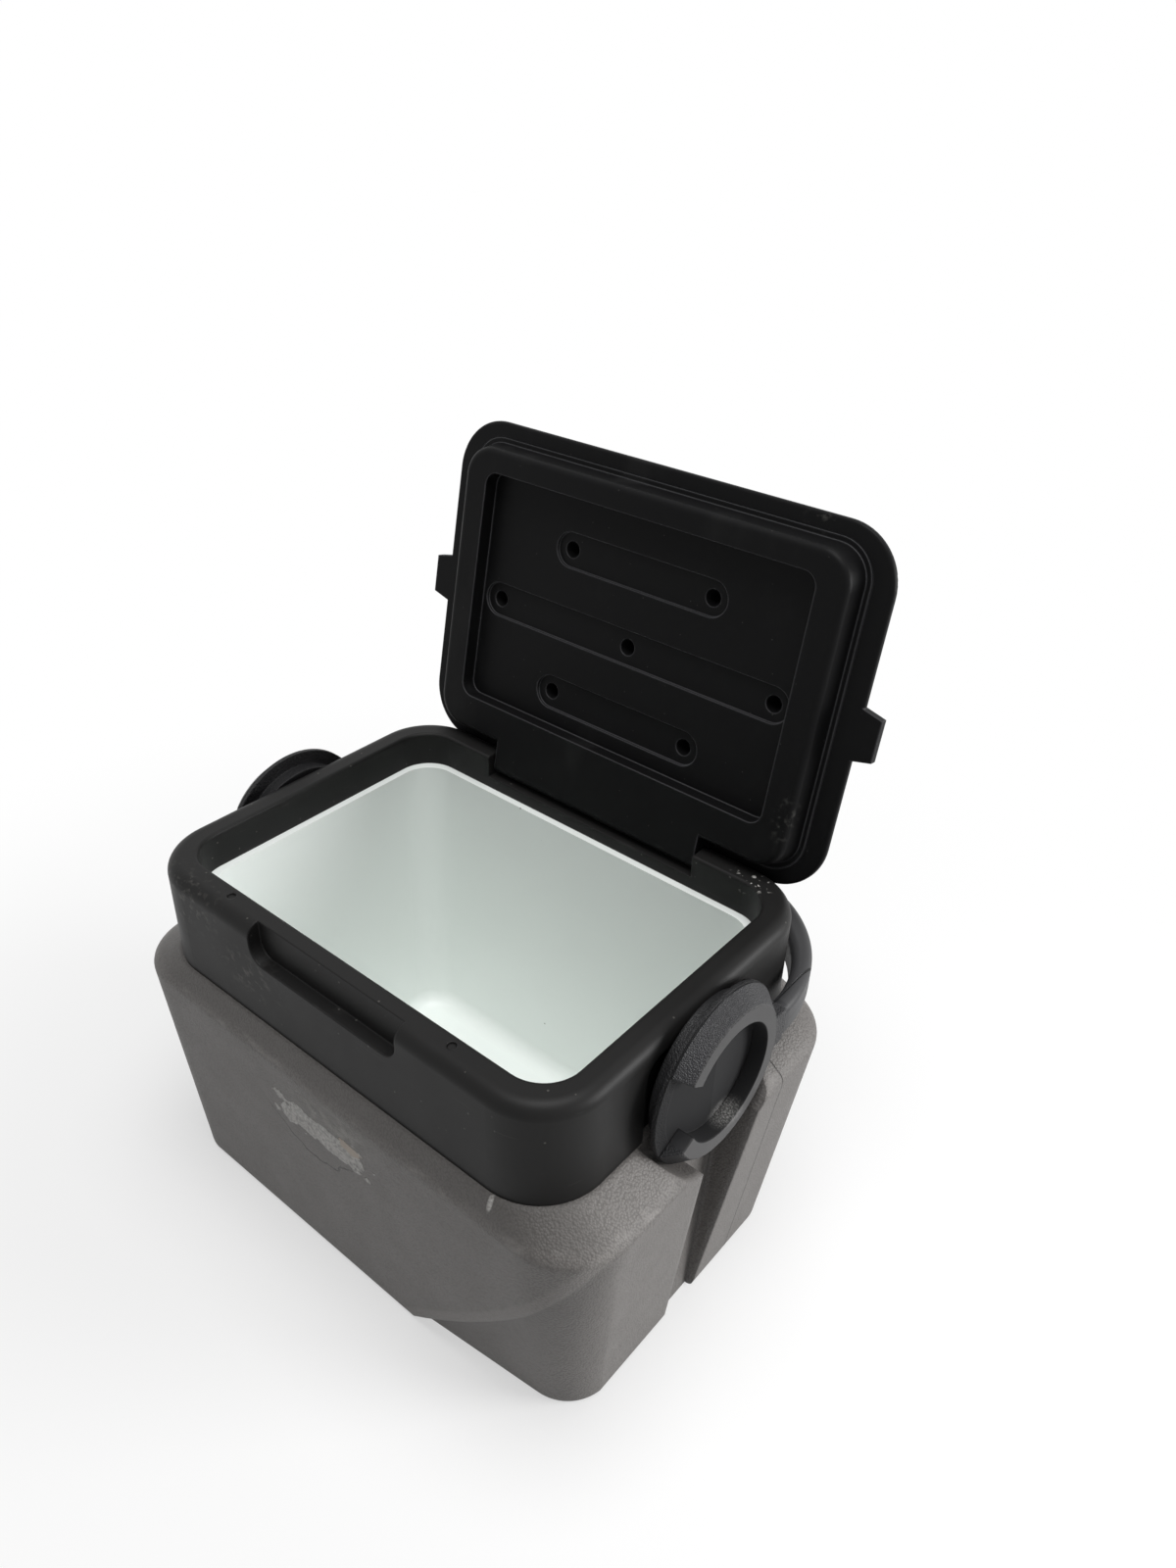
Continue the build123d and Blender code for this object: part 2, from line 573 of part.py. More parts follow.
def make_lid_foam():
    """Insulation between the lid's skins, clear of both by the fit gap."""
    low = LID_BOTTOM + PANEL_SEAT + FIT_GAP
    high = LID_BOTTOM + FLANGE_THICKNESS + CROWN_HEIGHT - CROWN_WALL - FIT_GAP
    foam = panel_seat(-CROWN_WALL - FIT_GAP, low, high)
    boss_high = PLUG_RING_BOTTOM + RECESS_DROP + GROOVE_DROP + PIT_DEPTH + PIT_WALL
    room_radius = PIT_MOUTH + PIT_WALL + FIT_GAP
    for x, y in pit_places():
        foam = foam - Pos(x, y, 0) * Cylinder(room_radius, boss_high + FIT_GAP, align=UPWARD)
    return foam


def hub_gap():
    """Wedge that opens the ring towards the front."""
    start = math.radians(HUB_GAP_START)
    end = math.radians(HUB_GAP_END)
    reach = 2 * HUB_PLATE_RADIUS
    outline = Polygon((PIVOT_Y, PIVOT_HEIGHT),
                      (PIVOT_Y + reach * math.cos(start), PIVOT_HEIGHT + reach * math.sin(start)),
                      (PIVOT_Y + reach * math.cos(end), PIVOT_HEIGHT + reach * math.sin(end)), align=None)
    return end_plate(outline, RING_BACK, FAR)


def root_peg(gap):
    """Peg on the hub that the arm of the bail slides over."""
    half = BAIL_HEIGHT / 4 + gap
    thickness = ARM_THICKNESS / 2 + 2 * gap
    middle = ARM_OUTER - ARM_THICKNESS / 2
    return block((middle - thickness / 2, PIVOT_Y + HUB_PLATE_RADIUS, PIVOT_HEIGHT - half),
                 (middle + thickness / 2, ARM_ROOT + ROOT_PEG + gap, PIVOT_HEIGHT + half))


def make_hub():
    spacer = rod(HUB_SPACER_RADIUS, SPACER_BACK, PLATE_BACK + 1, PIVOT_Y, PIVOT_HEIGHT)
    plate = rod(HUB_PLATE_RADIUS, PLATE_BACK, RING_BACK, PIVOT_Y, PIVOT_HEIGHT)
    cone = Cone(HUB_PLATE_RADIUS, HUB_FACE_RADIUS, HUB_RING_WIDTH, align=UPWARD)
    cone = fillet(cone.edges().group_by(Axis.Z)[-1], HUB_EDGE_ROUND)
    ring = Pos(RING_BACK, PIVOT_Y, PIVOT_HEIGHT) * Rot(0, 90, 0) * cone
    ring = ring - rod(HUB_BORE_RADIUS, RING_BACK - 1, FAR, PIVOT_Y, PIVOT_HEIGHT) - hub_gap()
    half = BAIL_HEIGHT / 2
    root_start = PIVOT_Y + (HUB_BORE_RADIUS + HUB_FACE_RADIUS) / 2
    root = block((ARM_OUTER - ARM_THICKNESS, root_start, PIVOT_HEIGHT - half),
                 (ARM_OUTER, ARM_ROOT, PIVOT_HEIGHT + half))
    journal = rod(JOURNAL_RADIUS, clip_inner() - 0.5, SPACER_BACK + 1, PIVOT_Y, PIVOT_HEIGHT)
    groove = rod(JOURNAL_RADIUS + 1, clip_inner(), clip_inner() + CLIP_THICKNESS, PIVOT_Y, PIVOT_HEIGHT)
    groove = groove - rod(JOURNAL_RADIUS - CLIP_GROOVE, clip_inner() - 1, FAR, PIVOT_Y, PIVOT_HEIGHT)
    return spacer + plate + ring + root + root_peg(0) + journal - groove


def clip_inner():
    """Inner face of the right hub's clip."""
    return POCKET_FLOOR - COLLAR_WALL - FIT_GAP - CLIP_THICKNESS


def make_hub_clip():
    """Snap ring in the journal's groove, with a gap at its foot so that it can spread."""
    low = clip_inner() + 0.1
    high = clip_inner() + CLIP_THICKNESS - 0.1
    ring = rod(CLIP_RADIUS, low, high, PIVOT_Y, PIVOT_HEIGHT)
    ring = ring - rod(JOURNAL_RADIUS - CLIP_GROOVE + RUNNING_GAP, low - 1, high + 1, PIVOT_Y, PIVOT_HEIGHT)
    half = JOURNAL_RADIUS / 2
    return ring - block((low - 1, PIVOT_Y - half, 0), (high + 1, PIVOT_Y + half, PIVOT_HEIGHT))


def make_bail():
    """U-shaped handle: thin arms at the hubs that thicken round wide corners into the grip."""
    outer_x = ARM_OUTER
    inner_x = ARM_OUTER - ARM_THICKNESS
    outer_y = COLLAR_REAR + GRIP_ROOM + GRIP_THICKNESS
    inner_y = outer_y - GRIP_THICKNESS
    bend_start = ARM_ROOT + ARM_RUN
    inner_radius = BAIL_OUTER_RADIUS - (ARM_THICKNESS + GRIP_THICKNESS) / 2
    outer_middle = (outer_x - BAIL_OUTER_RADIUS, bend_start)
    inner_middle = (inner_x - inner_radius, bend_start)
    half = make_face([
        Line((0, outer_y), (outer_middle[0], outer_y)),
        EllipticalCenterArc(outer_middle, BAIL_OUTER_RADIUS, outer_y - bend_start, arc_size=90),
        Line((outer_x, bend_start), (outer_x, ARM_ROOT)),
        Line((outer_x, ARM_ROOT), (inner_x, ARM_ROOT)),
        Line((inner_x, ARM_ROOT), (inner_x, bend_start)),
        EllipticalCenterArc(inner_middle, inner_radius, inner_y - bend_start, arc_size=90),
        Line((inner_middle[0], inner_y), (0, inner_y)),
        Line((0, inner_y), (0, outer_y))])
    outline = half + mirror(half, about=Plane.YZ)
    low = PIVOT_HEIGHT - BAIL_HEIGHT / 2
    bail = Pos(0, 0, low) * extrude(outline, BAIL_HEIGHT)
    rims = [edge for edge in edges_at(bail, low) + edges_at(bail, low + BAIL_HEIGHT)
            if edge.center().Y > ARM_ROOT + 1e-3]
    bail = fillet(rims, BAIL_ROUND)
    return bail - both_ends(root_peg(RUNNING_GAP))


hub = make_hub()
clip = make_hub_clip()
pin = make_hinge_pin()
NODES = {
    "base_shell": make_base_shell(),
    "foam_plug": make_foam_plug(),
    "body_foam": make_body_foam(),
    "liner": make_liner(),
    "collar": make_collar(),
    "rim_plugs": make_rim_plugs(),
    "hinge_pin_left": mirrored(pin),
    "hinge_pin_right": pin,
    "lid_cover": opened(make_lid_cover()),
    "lid_inner_panel": opened(make_lid_inner_panel()),
    "lid_foam": opened(make_lid_foam()),
    "handle_bail": make_bail(),
    "hub_left": mirrored(hub),
    "hub_right": hub,
    "hub_clip_left": mirrored(clip),
    "hub_clip_right": clip,
}

os.makedirs("parts", exist_ok=True)
for name, solid in NODES.items():
    export_step(solid, f"parts/{name}.step")
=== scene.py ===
# %% [markdown]
# # A small cooler, dressed in Blender
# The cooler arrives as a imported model: every moulding is already a mesh in metres, in one frame.
# The mouldings have the right shape, so no new piece is modelled here. This lesson is about what they are
# made of and how they have aged: a grey pebbled tub, a black satin collar and lid, a charcoal handle and a
# white food liner.

import bpy
from mathutils import Matrix, Vector

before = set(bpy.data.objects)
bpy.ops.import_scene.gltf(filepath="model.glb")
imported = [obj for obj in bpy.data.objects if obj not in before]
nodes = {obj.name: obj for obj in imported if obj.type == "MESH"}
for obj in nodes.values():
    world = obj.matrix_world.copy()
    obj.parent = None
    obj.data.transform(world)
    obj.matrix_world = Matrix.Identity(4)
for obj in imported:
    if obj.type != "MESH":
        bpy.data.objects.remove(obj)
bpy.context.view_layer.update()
bpy.ops.object.select_all(action="DESELECT")
print("nodes:", sorted(nodes))

# %% [markdown]
# ## The camera
# The photograph was taken by hand, from the front right corner and above the rim.
# A camera could be aimed by eye until the picture looks right. Here the straight edges of the rim were fitted
# first, which gave the lens, the place and the directions, so all of them are plain numbers.

# %% Camera
CAMERA_PLACE = Vector((0.40679, -0.40569, 0.70558))
LOOK = Vector((-0.52275, 0.65844, -0.54147)).normalized()
TO_RIGHT = Vector((0.76984, 0.63744, 0.03193)).normalized()
TO_TOP = TO_RIGHT.cross(LOOK).normalized()
SENSOR_HEIGHT_MM = 36.0
LENS_MM = 27.05
NEAREST_SEEN = 0.05

scene = bpy.context.scene
camera_data = bpy.data.cameras.new("camera")
camera_data.sensor_fit = "VERTICAL"
camera_data.sensor_height = SENSOR_HEIGHT_MM
camera_data.lens = LENS_MM
camera_data.clip_start = NEAREST_SEEN
camera = bpy.data.objects.new("camera", camera_data)
scene.collection.objects.link(camera)
turn = Matrix((TO_RIGHT, TO_TOP, -LOOK)).transposed()
camera.matrix_world = Matrix.Translation(CAMERA_PLACE) @ turn.to_4x4()
scene.camera = camera
print("camera at", tuple(round(v, 3) for v in CAMERA_PLACE))

# %% [markdown]
# ## Node helpers
# A plastic could be one flat colour, but then the cooler would look like a drawing of itself.
# Its finish is built from small steps instead: a place on the object, a noise, a mask, a blend of two
# colours. Each step is one function, so that every finish below reads as a short recipe.
# Places are the part's own coordinates in metres, so the marks stay on their piece when it moves.

# %% A new finish, and places on it


def start_material(name):
    """A new material, its node tree and its shader."""
    material = bpy.data.materials.new(name)
    material.use_nodes = True
    tree = material.node_tree
    return material, tree, tree.nodes["Principled BSDF"]


def plug(tree, socket, value):
    """Set a socket to a constant, or link it to another node's output."""
    if isinstance(value, bpy.types.NodeSocket):
        tree.links.new(value, socket)
    elif isinstance(value, tuple) and socket.type == "RGBA":
        socket.default_value = (*value, 1.0)
    else:
        socket.default_value = value


def calc(tree, operation, first, second=0.0, third=0.0):
    """One step of arithmetic."""
    node = tree.nodes.new("ShaderNodeMath")
    node.operation = operation
    for socket, value in zip(node.inputs, (first, second, third)):
        plug(tree, socket, value)
    return node.outputs[0]


def place(tree):
    """The point on the object, in metres."""
    node = tree.nodes.get("place")
    if node is None:
        node = tree.nodes.new("ShaderNodeTexCoord")
        node.name = "place"
    return node.outputs["Object"]


def part_of_place(tree, axis):
    """One coordinate of the point on the object."""
    node = tree.nodes.new("ShaderNodeSeparateXYZ")
    plug(tree, node.inputs[0], place(tree))
    return node.outputs[axis]


def from_place(tree, axis, middle):
    """Distance along one axis from a place, with its sign."""
    return calc(tree, "SUBTRACT", part_of_place(tree, axis), middle)


def beside_place(tree, axis, middle):
    """Distance along one axis from a place, to either side."""
    return calc(tree, "ABSOLUTE", from_place(tree, axis, middle))


def from_axis(tree, first, second):
    """Distance from a straight axis, from the two distances across it."""
    squares = [calc(tree, "MULTIPLY", leg, leg) for leg in (first, second)]
    return calc(tree, "SQRT", calc(tree, "ADD", *squares))


print("places and arithmetic ready")

# %% [markdown]
# ## Patterns and masks
# A pattern is the same all over a piece: clouds of noise, or cells for pebbles and specks.
# A mask says where something is, as a number between 0 and 1. Masks could be painted as pictures, but drawn
# from places and patterns they have no pixels, and they fit the piece at any size.

# %% Patterns


def noise(tree, scale, detail=3.0, stretch=(1.0, 1.0, 1.0)):
    """Cloudy noise between 0 and 1, with a stretch along each axis."""
    mapping = tree.nodes.new("ShaderNodeMapping")
    mapping.inputs["Scale"].default_value = stretch
    plug(tree, mapping.inputs["Vector"], place(tree))
    node = tree.nodes.new("ShaderNodeTexNoise")
    node.inputs["Scale"].default_value = scale
    node.inputs["Detail"].default_value = detail
    plug(tree, node.inputs["Vector"], mapping.outputs["Vector"])
    return node.outputs[0]


def cells(tree, scale):
    """Distance to the nearest of many scattered points: pebbles or specks."""
    node = tree.nodes.new("ShaderNodeTexVoronoi")
    node.inputs["Scale"].default_value = scale
    plug(tree, node.inputs["Vector"], place(tree))
    return node.outputs["Distance"]


print("patterns ready")

# %% Masks


def ramp(tree, value, low, high):
    """Soft step: 0 at low and 1 at high."""
    node = tree.nodes.new("ShaderNodeMapRange")
    node.interpolation_type = "SMOOTHSTEP"
    plug(tree, node.inputs["Value"], value)
    node.inputs["From Min"].default_value = low
    node.inputs["From Max"].default_value = high
    return node.outputs["Result"]


def vector_step(tree, operation, first, second):
    """One step of arithmetic on a point or a direction."""
    node = tree.nodes.new("ShaderNodeVectorMath")
    node.operation = operation
    plug(tree, node.inputs[0], first)
    plug(tree, node.inputs[1], second)
    return node


def spot(tree, centre, reach, soft=0.4):
    """1 inside an egg-shaped patch around a place, 0 outside it."""
    offset = vector_step(tree, "SUBTRACT", place(tree), centre).outputs[0]
    scaled = vector_step(tree, "DIVIDE", offset, reach).outputs[0]
    length = vector_step(tree, "LENGTH", scaled, (0.0, 0.0, 0.0)).outputs["Value"]
    return ramp(tree, length, 1.0, 1.0 - soft)


def line(tree, value, middle, half_width):
    """1 on a thin line where a value passes its middle, 0 beside it."""
    distance = calc(tree, "ABSOLUTE", calc(tree, "SUBTRACT", value, middle))
    return ramp(tree, distance, half_width, half_width / 3)


def both(tree, first, second):
    """Where two masks meet."""
    return calc(tree, "MULTIPLY", first, second)


def faint(tree, mask, share):
    """A mask at a share of its strength."""
    return calc(tree, "MULTIPLY", mask, share)


def either(tree, *masks):
    """Where any of the masks is."""
    result = masks[0]
    for mask in masks[1:]:
        result = calc(tree, "MAXIMUM", result, mask)
    return result


def specks(tree, per_metre, edge, core):
    """Fine dots, as dust leaves them: 0 at the edge of a dot, 1 in its core."""
    return ramp(tree, cells(tree, per_metre), edge, core)


print("masks ready")

# %% [markdown]
# ## Blends and relief
# A mask turns one colour or one number into another. Edges and grain are relief: the light is told that the
# surface turns, while the mesh stays as it is. The Bevel node does this for the sharp edges of the mouldings,
# and its turned normal also finds the edges that get a painted highlight.

# %% Blends and relief


def blend(tree, mask, below, above):
    """One colour turning into another along a mask."""
    node = tree.nodes.new("ShaderNodeMix")
    node.data_type = "RGBA"
    plug(tree, node.inputs[0], mask)
    plug(tree, node.inputs[6], below)
    plug(tree, node.inputs[7], above)
    return node.outputs[2]


def level(tree, mask, below, above):
    """One number turning into another along a mask."""
    node = tree.nodes.new("ShaderNodeMapRange")
    plug(tree, node.inputs["Value"], mask)
    node.inputs["To Min"].default_value = below
    node.inputs["To Max"].default_value = above
    return node.outputs["Result"]


def soft_edges(tree, radius):
    """Shade sharp edges as if they were rounded, as a moulding's edges are."""
    node = tree.nodes.new("ShaderNodeBevel")
    node.samples = 8
    plug(tree, node.inputs["Radius"], radius)
    return node.outputs["Normal"]


def sharp_edge_mask(tree, radius):
    """1 on the sharp edges of a moulding, 0 on its faces."""
    geometry = tree.nodes.new("ShaderNodeNewGeometry")
    turned = vector_step(tree, "DOT_PRODUCT", soft_edges(tree, radius), geometry.outputs["Normal"])
    return ramp(tree, turned.outputs["Value"], 0.98, 0.8)


def relief(tree, height, depth, under=None):
    """Bump of a given depth in metres, on top of another one."""
    node = tree.nodes.new("ShaderNodeBump")
    node.inputs["Strength"].default_value = 1.0
    node.inputs["Distance"].default_value = depth
    plug(tree, node.inputs["Height"], height)
    if under is not None:
        plug(tree, node.inputs["Normal"], under)
    return node.outputs["Normal"]


print("blends and relief ready")

# %% [markdown]
# ## Light
# The photograph is lit from above and from the right. A picture of a studio could light the cooler, but two
# lamps are easier to read: a wide one overhead that reaches the liner's floor, and one low on the right.
# The view transform is Standard, which adds no film look of its own.

# %% Lamps
scene.view_settings.view_transform = "Standard"


def lamp(name, stand, target, size, power):
    """A round lamp of a size in metres and a power in watts, turned to its target."""
    data = bpy.data.lights.new(name, "AREA")
    data.shape = "DISK"
    data.size = size
    data.energy = power
    obj = bpy.data.objects.new(name, data)
    scene.collection.objects.link(obj)
    obj.location = stand
    aim = Vector(target) - Vector(stand)
    obj.rotation_euler = aim.to_track_quat("-Z", "Y").to_euler()


lamp("top_lamp", stand=(0.25, -0.1, 2.15), target=(0, 0, 0.2), size=1.2, power=28)
lamp("right_lamp", stand=(1.8, 1.0, 0.65), target=(0, 0, 0.15), size=1.0, power=38)

# %% [markdown]
# ## Backdrop and floor
# The cooler stands on a pale floor in front of plain white.
# White walls would also light the cooler and grey its black lid. So the backdrop and the floor are white only
# to the eye, in a reflection or through glass, and dim for all other rays.
# Near the cooler the floor is partly paint, which takes its shadow, and partly a glow, which keeps it soft.

# %% White backdrop
WHITE = (1.0, 1.0, 1.0)
WORLD_LIGHT = 0.22


def seen_rays(tree):
    """1 for the rays that show the background: to the eye, in a reflection or through glass."""
    rays = tree.nodes.new("ShaderNodeLightPath")
    return either(tree, rays.outputs["Is Camera Ray"], rays.outputs["Is Glossy Ray"],
                  rays.outputs["Is Transmission Ray"])


world = bpy.data.worlds.new("studio")
scene.world = world
world.use_nodes = True
tree = world.node_tree
background = tree.nodes["Background"]
plug(tree, background.inputs["Color"], WHITE)
plug(tree, background.inputs["Strength"], level(tree, seen_rays(tree), WORLD_LIGHT, 1.0))
print("backdrop:", world.name)

# %% Pale floor
FLOOR_SIZE = 8
FLOOR_SEEN = (0.93, 0.93, 0.93), (0.96, 0.96, 0.96)
FLOOR_UNSEEN = (0.55, 0.55, 0.55)
SHADOW_SHARE = 0.45
SHADOW_REACH = (0.75, 0.75, 1.0)

bpy.ops.mesh.primitive_plane_add(size=FLOOR_SIZE, location=(0, 0, 0))
floor = bpy.context.object
floor.name = "floor"
floor_paint, tree, shader = start_material("floor_paint")
shader.inputs["Roughness"].default_value = 0.9
shader.inputs["Specular IOR Level"].default_value = 0.0
shown = blend(tree, noise(tree, 3.0), *FLOOR_SEEN)
plug(tree, shader.inputs["Base Color"], blend(tree, seen_rays(tree), FLOOR_UNSEEN, shown))
glow = tree.nodes.new("ShaderNodeEmission")
plug(tree, glow.inputs["Color"], WHITE)
glow.inputs["Strength"].default_value = 1.0
mixer = tree.nodes.new("ShaderNodeMixShader")
near = spot(tree, (0.0, 0.0, 0.0), SHADOW_REACH, soft=0.7)
plug(tree, mixer.inputs[0], both(tree, seen_rays(tree), level(tree, near, 1.0, 1.0 - SHADOW_SHARE)))
plug(tree, mixer.inputs[1], shader.outputs[0])
plug(tree, mixer.inputs[2], glow.outputs[0])
plug(tree, tree.nodes["Material Output"].inputs["Surface"], mixer.outputs[0])
floor.data.materials.append(floor_paint)
print("floor:", tuple(floor.dimensions))

# %% [markdown]
# ## Grey pebbled tub
# The tub is moulded in grey plastic against a pebbled tool, so it sparkles where the light grazes it.
# Modelled pebbles would take millions of faces. A pattern of cells, used as relief and as darker gaps
# between the pebbles, gives the same grain.
# The shoulder's edge is rubbed pale. A painted highlight runs along the bowed crease, and painted shade
# darkens the front under the crease and on the shoulder.

# %% Places on the tub
FRONT_WALL = (-0.09, -0.11)
CREASE_MIDDLE = (-0.4721, 0.5771)
CREASE_RADIUS = 0.7748
FUNNEL_Y = 0.007
FUNNEL_START = (0.155, 0.16)
FUNNEL_HALF_WIDTH = (0.055, 0.045)
RIGHT_END = (0.15, 0.16)
PARTING_Y = 0.060
PARTING_HALF_WIDTH = 0.0006


def on_front(tree):
    """1 on the front wall, 0 behind it."""
    return ramp(tree, part_of_place(tree, "Y"), *FRONT_WALL)


def past_crease(tree):
    """Distance past the bowed crease of the cut-back foot, towards the corner."""
    across = from_place(tree, "X", CREASE_MIDDLE[0])
    down = from_place(tree, "Z", CREASE_MIDDLE[1])
    return calc(tree, "SUBTRACT", from_axis(tree, across, down), CREASE_RADIUS)


def in_funnel(tree):
    """1 in the channel under a hub, 0 elsewhere."""
    outward = calc(tree, "ABSOLUTE", part_of_place(tree, "X"))
    aside = beside_place(tree, "Y", FUNNEL_Y)
    return both(tree, ramp(tree, outward, *FUNNEL_START), ramp(tree, aside, *FUNNEL_HALF_WIDTH))


def tub_parting(tree):
    """The mould's parting line, down the right end."""
    right_end = ramp(tree, part_of_place(tree, "X"), *RIGHT_END)
    return both(tree, right_end, line(tree, part_of_place(tree, "Y"), PARTING_Y, PARTING_HALF_WIDTH))


print("places on the tub: front wall, crease, funnels, parting line")

# %% Grey plastic, its wear and its painted light
TUB_GREYS = (0.128, 0.120, 0.114), (0.150, 0.141, 0.134)
PEBBLE_GAP = (0.104, 0.097, 0.092)
# Pale for the rubbed shoulder edge and for the painted highlight along the crease.
RUBBED_PALE_AND_HIGHLIGHT = (0.33, 0.315, 0.30)
# Painted shade under the crease and on the front shoulder.
TUB_PAINTED_SHADE = (0.06, 0.056, 0.053)
SHOULDER_EDGE = 0.184
SHOULDER_RUB = 0.005
SHOULDER_RISE = (0.183, 0.19)
# Where the painted highlight runs along the crease, and how far the painted shade reaches under it.
CREASE_HIGHLIGHT = (-0.003, 0.006)
CREASE_SHADE_REACH = 0.06


def pebbled_grey(tree, pebble):
    """Grey in soft clouds, darker between the pebbles."""
    grey = blend(tree, noise(tree, 9.0), *TUB_GREYS)
    return blend(tree, ramp(tree, pebble, 0.35, 0.75), grey, PEBBLE_GAP)


def wear_and_shade_tub(tree, colour):
    """Rub the shoulder's edge, paint a highlight along the crease, and paint shade on the front under the
    crease and on the shoulder.
    """
    height = part_of_place(tree, "Z")
    past = past_crease(tree)
    front = on_front(tree)
    streaks = ramp(tree, noise(tree, 150.0, detail=6.0, stretch=(0.35, 0.35, 1.0)), 0.48, 0.72)
    rubbed = both(tree, line(tree, height, SHOULDER_EDGE, SHOULDER_RUB), streaks)
    # Painted highlight: a pale line along the bowed crease.
    crease_highlight = both(tree, front, line(tree, past, *CREASE_HIGHLIGHT))
    wear_and_highlight = either(tree, faint(tree, rubbed, 0.3), faint(tree, crease_highlight, 0.2))
    colour = blend(tree, wear_and_highlight, colour, RUBBED_PALE_AND_HIGHLIGHT)
    # Painted shade: darker on the front under the crease and on the shoulder's rise.
    shade_under_crease = both(tree, ramp(tree, past, -0.001, 0.001), ramp(tree, past, CREASE_SHADE_REACH, 0.0))
    shade_on_shoulder = ramp(tree, height, *SHOULDER_RISE)
    painted_shade = either(tree, faint(tree, shade_under_crease, 0.4), faint(tree, shade_on_shoulder, 0.45))
    return blend(tree, both(tree, painted_shade, front), colour, TUB_PAINTED_SHADE)


print("tub greys:", TUB_GREYS)

# %% [markdown]
# ## Label remains
# A label once sat high on the front. Its glue has flaked into a whitish band with a crack under it, scraps
# of beige paper hold on at the right, and a drip has dried at the front right corner.
# Every flake could be cut out as a mesh. Here each kind is a simple shape whose edge is frayed by noise,
# which looks torn and takes a few nodes.

# %% Glue, paper and crack
LABEL_CENTRE = (-0.008, -0.128, 0.1435)
LABEL_HALF = (0.039, 0.0112)
LABEL_FRAY = 0.75
SCRAPS_CENTRE, SCRAPS_REACH = (0.020, -0.130, 0.153), (0.026, 0.03, 0.013)
FILM_CENTRE, FILM_REACH = (0.008, -0.130, 0.166), (0.055, 0.03, 0.02)
DRIP_CENTRE, DRIP_REACH = (0.131, -0.127, 0.1965), (0.0022, 0.006, 0.007)
FLECKS_REACH = (0.065, 0.03, 0.045)
CRACK_LOW = (-0.018, 0.113)
CRACK_BOW = 13.5
CRACK_WANDER = 0.008
CRACK_HALF_LENGTH = 0.055
CRACK_HALF_WIDTH = 0.0013
GLUE_FILM = (0.30, 0.30, 0.27)
GLUE_PALES = (0.23, 0.22, 0.21), (0.52, 0.51, 0.49)
BEIGE_PAPER = (0.40, 0.34, 0.285)


def glue_band(tree):
    """Level band of whitish glue, ragged at the edge."""
    along = calc(tree, "DIVIDE", beside_place(tree, "X", LABEL_CENTRE[0]), LABEL_HALF[0])
    across = calc(tree, "DIVIDE", beside_place(tree, "Z", LABEL_CENTRE[2]), LABEL_HALF[1])
    fray = level(tree, noise(tree, 120.0, detail=7.0), LABEL_FRAY, -LABEL_FRAY)
    ragged = calc(tree, "ADD", either(tree, along, across), fray)
    return both(tree, on_front(tree), ramp(tree, ragged, 1.06, 0.94))


def paper_scraps(tree):
    """Beige scraps of paper over the band's right end."""
    area = spot(tree, SCRAPS_CENTRE, SCRAPS_REACH, soft=0.9)
    torn = ramp(tree, calc(tree, "ADD", area, noise(tree, 190.0, detail=6.0)), 1.26, 1.36)
    return both(tree, torn, on_front(tree))


def crack(tree):
    """Thin dark line that hangs under the band like a slack string."""
    aside = from_place(tree, "X", CRACK_LOW[0])
    up = from_place(tree, "Z", CRACK_LOW[1])
    string = calc(tree, "MULTIPLY_ADD", calc(tree, "MULTIPLY", aside, aside), -CRACK_BOW, up)
    wander = level(tree, noise(tree, 90.0, detail=4.0), -CRACK_WANDER, CRACK_WANDER)
    thread = line(tree, calc(tree, "ADD", string, wander), 0.0, CRACK_HALF_WIDTH)
    return both(tree, on_front(tree), both(tree, line(tree, aside, 0.0, CRACK_HALF_LENGTH), thread))


def lay_label(tree, colour):
    """Lay film, glue and paper over a colour, and say where they stand proud."""
    film = both(tree, spot(tree, FILM_CENTRE, FILM_REACH, soft=0.9),
                ramp(tree, noise(tree, 140.0, detail=6.0), 0.4, 0.75))
    colour = blend(tree, faint(tree, film, 0.7), colour, GLUE_FILM)
    band = glue_band(tree)
    flecks = both(tree, spot(tree, LABEL_CENTRE, FLECKS_REACH, soft=0.7),
                  ramp(tree, noise(tree, 210.0), 0.69, 0.73))
    drip = spot(tree, DRIP_CENTRE, DRIP_REACH)
    pale = blend(tree, ramp(tree, noise(tree, 520.0, detail=6.0), 0.3, 0.7), *GLUE_PALES)
    colour = blend(tree, either(tree, band, faint(tree, flecks, 0.7), drip), colour, pale)
    scraps = paper_scraps(tree)
    return blend(tree, scraps, colour, BEIGE_PAPER), either(tree, band, scraps, drip)


print("label remains around", LABEL_CENTRE)

# %% [markdown]
# ## The tub, put together
# The colours go on in the order in which they came to the real tub: plastic, wear, label, and last the dark
# lines; the painted highlight and shade go on with the wear. The relief does the same: rounded edges,
# pebbles, raised glue, then the lines cut in.
# The funnels under the hubs get the softest edges.

# %% Tub plastic
PEBBLES_PER_METRE = 760.0
PEBBLE_DEPTH = 0.0003
LABEL_DEPTH = 0.0006
LINE_DEPTH = 0.0006
DARK_LINE = (0.03, 0.028, 0.026)
TUB_EDGE = 0.005
FUNNEL_EDGE = 0.007


